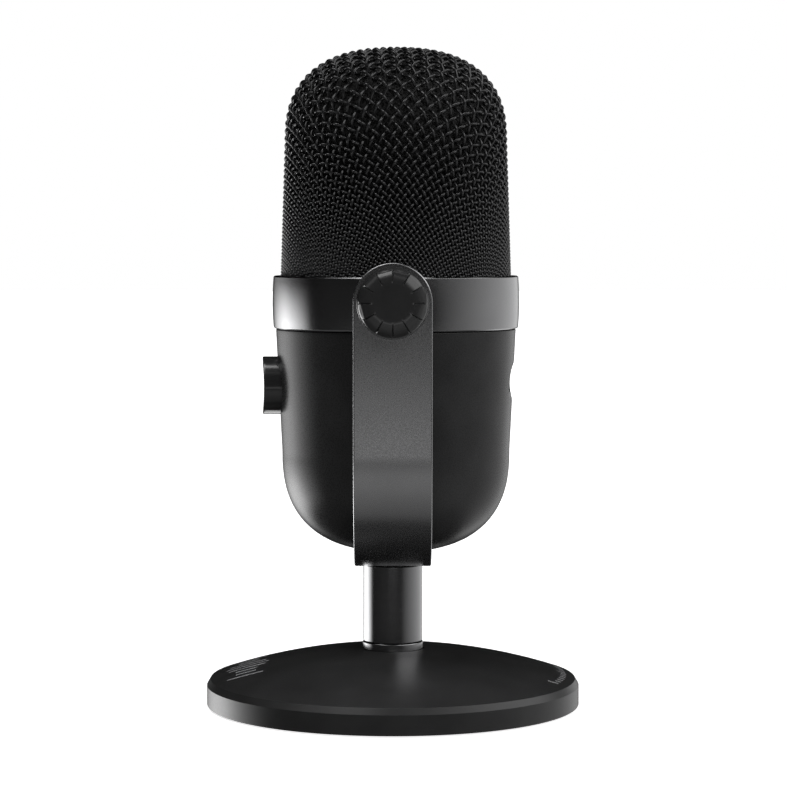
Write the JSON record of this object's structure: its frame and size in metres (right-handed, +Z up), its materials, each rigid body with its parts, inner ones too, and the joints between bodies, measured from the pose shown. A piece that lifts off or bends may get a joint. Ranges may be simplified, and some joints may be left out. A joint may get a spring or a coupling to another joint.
{
  "type": "desktop microphone",
  "caption": "Desktop capsule microphone with a woven wire dome, tilting in a strap yoke on a stem and heavy round base, with a front gain knob and side clamp knobs.",
  "frame": {"origin": "centre of the footprint, on the surface the base stands on", "axes": "+Z up along the stem; -Y towards the front, where the gain knob is; X along the tilt axis"},
  "size_m": [0.11, 0.11, 0.1937],
  "materials": {
    "base_paint": "satin black powder coat",
    "pad_rubber": "matt black rubber",
    "fastener_steel": "plain zinc-plated steel",
    "dark_metal": "satin gunmetal",
    "brass": "plain machined brass",
    "casing_plastic": "satin black moulded plastic",
    "knob_plastic": "semi-gloss black moulded plastic",
    "grille_wire": "black painted steel wire",
    "foam": "matt black open-cell foam",
    "board": "green solder mask on glass laminate",
    "capsule_metal": "plain aluminium",
    "nylon": "natural nylon",
    "frame_plastic": "matt black glass-filled plastic"
  },
  "bodies": {
    "stand": {"base_disc": "base_paint", "base_pad": "pad_rubber", "stem_bolt": "fastener_steel", "stem_washer": "fastener_steel", "stem_collar": "dark_metal", "stem_tube": "dark_metal", "stem_lower_plug": "fastener_steel", "stem_upper_plug": "fastener_steel", "swivel_washer": "nylon", "swivel_bolt": "fastener_steel"},
    "yoke": {"yoke_strap": "dark_metal"},
    "mic_head": {"trim_band": "dark_metal", "lower_casing": "casing_plastic", "grille": "grille_wire", "foam_liner": "foam", "grille_ring": "fastener_steel", "inner_frame": "frame_plastic", "frame_post_front": "brass", "frame_post_rear": "brass", "frame_screw_front": "fastener_steel", "frame_screw_rear": "fastener_steel", "capsule_post": "frame_plastic", "capsule_cradle": "pad_rubber", "capsule": "capsule_metal", "capsule_lead": "pad_rubber", "spine": "frame_plastic", "main_board": "board", "board_screw_upper": "fastener_steel", "board_screw_lower": "fastener_steel", "casing_screw": "fastener_steel", "port_bezel": "knob_plastic", "usb_socket": "fastener_steel", "usb_tongue": "knob_plastic", "headphone_jack": "knob_plastic", "port_board": "board", "gain_encoder": "fastener_steel", "encoder_board": "board", "pivot_insert_left": "brass", "pivot_insert_right": "brass", "tilt_washer_left": "pad_rubber", "tilt_washer_right": "pad_rubber"},
    "push_switch": {"mute_plunger": "nylon"},
    "gain_control": {"encoder_shaft": "fastener_steel", "gain_knob": "knob_plastic"},
    "left_washer": {"clamp_washer_left": "nylon"},
    "left_clamp": {"clamp_stud_left": "fastener_steel", "clamp_knob_left": "knob_plastic"},
    "right_washer": {"clamp_washer_right": "nylon"},
    "right_clamp": {"clamp_stud_right": "fastener_steel", "clamp_knob_right": "knob_plastic"}
  },
  "joints": [
    {"name": "yoke_swivel", "type": "hinge", "parent": "stand", "child": "yoke", "pos_m": [0, 0, 0.0418], "axis": [0, 0, 1], "continuous": true},
    {"name": "head_tilt", "type": "hinge", "parent": "yoke", "child": "mic_head", "pos_m": [0, 0, 0.12], "axis": [1, 0, 0], "range_deg": [-90, 90]},
    {"name": "mute_press", "type": "slide", "parent": "mic_head", "child": "push_switch", "axis": [0, 1, 0], "range_m": [0, 0.0005], "stiffness_N_per_m": 4000, "springref_m": -0.0003},
    {"name": "gain_turn", "type": "hinge", "parent": "push_switch", "child": "gain_control", "pos_m": [0, -0.0384, 0.09475], "axis": [0, -1, 0], "range_deg": [-150, 150]},
    {"name": "left_clamp_travel", "type": "slide", "parent": "mic_head", "child": "left_washer", "axis": [-1, 0, 0], "range_m": [0, 0.0008]},
    {"name": "left_clamp_turn", "type": "hinge", "parent": "left_washer", "child": "left_clamp", "pos_m": [-0.0422, 0, 0.12], "axis": [-1, 0, 0], "range_deg": [0, 360]},
    {"name": "right_clamp_travel", "type": "slide", "parent": "mic_head", "child": "right_washer", "axis": [1, 0, 0], "range_m": [0, 0.0008]},
    {"name": "right_clamp_turn", "type": "hinge", "parent": "right_washer", "child": "right_clamp", "pos_m": [0.0422, 0, 0.12], "axis": [1, 0, 0], "range_deg": [0, 360]}
  ],
  "couplings": [
    {"joint": "left_clamp_turn", "follows": "left_clamp_travel", "rad_per_m": 7854},
    {"joint": "right_clamp_turn", "follows": "right_clamp_travel", "rad_per_m": 7854}
  ]
}
